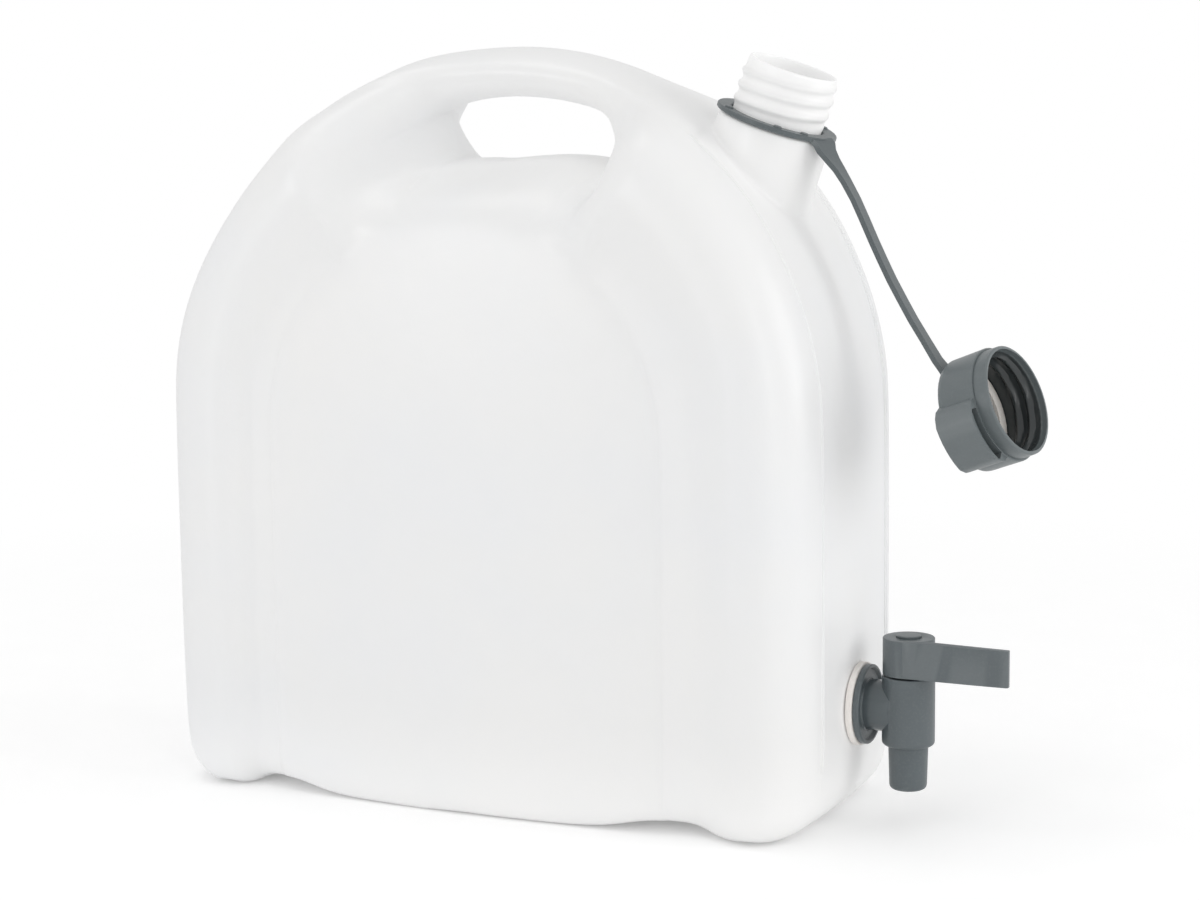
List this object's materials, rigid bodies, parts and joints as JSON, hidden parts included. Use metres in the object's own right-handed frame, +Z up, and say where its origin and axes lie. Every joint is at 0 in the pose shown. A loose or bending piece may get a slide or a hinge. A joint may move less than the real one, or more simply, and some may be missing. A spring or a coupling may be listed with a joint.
{
  "type": "jerrycan with tap",
  "caption": "Flat arched plastic water can with a through handle, a threaded filler neck, a strap-held screw cap and a lever drain tap.",
  "frame": {"origin": "on the ground, under the middle of the can's arch and of its depth", "axes": "+X from the can's middle to the tap, +Z up, -Y to the side panel that the picture shows"},
  "size_m": [0.3989, 0.137, 0.3373],
  "materials": {
    "natural_polyethylene": "translucent natural white, satin",
    "grey_strap": "dark grey, satin",
    "grey_cap": "dark grey, fine grain",
    "cream_seal": "cream foam, matt",
    "grey_tap": "dark grey, fine grain",
    "grey_plug": "dark grey, smooth",
    "peach_gasket": "peach, matt",
    "white_nut": "white, satin",
    "black_rubber": "black, matt"
  },
  "bodies": {
    "can": {"can_body": "natural_polyethylene", "tap_housing": "grey_tap", "tap_outer_gasket": "peach_gasket", "tap_inner_gasket": "peach_gasket", "tap_back_nut": "white_nut"},
    "strap": {"neck_strap": "grey_strap"},
    "cap": {"cap_shell": "grey_cap", "cap_seal": "cream_seal"},
    "lever": {"tap_lever": "grey_tap", "tap_plug": "grey_plug", "plug_oring_lower": "black_rubber", "plug_oring_upper": "black_rubber"}
  },
  "joints": [
    {"name": "lever_turn", "type": "hinge", "parent": "can", "child": "lever", "pos_m": [0.1818, 0, 0.0754], "axis": [0, 0, 1], "range_deg": [0, 90]},
    {"name": "strap_turn", "type": "hinge", "parent": "can", "child": "strap", "pos_m": [0.1291, 0, 0.3279], "axis": [0.3256, 0, 0.9455], "range_deg": [-60, 60]},
    {"name": "cap_swivel", "type": "hinge", "parent": "strap", "child": "cap", "pos_m": [0.208, -0.0014, 0.181], "axis": [0.9171, -0.169, 0.361], "range_deg": [-180, 180]}
  ]
}
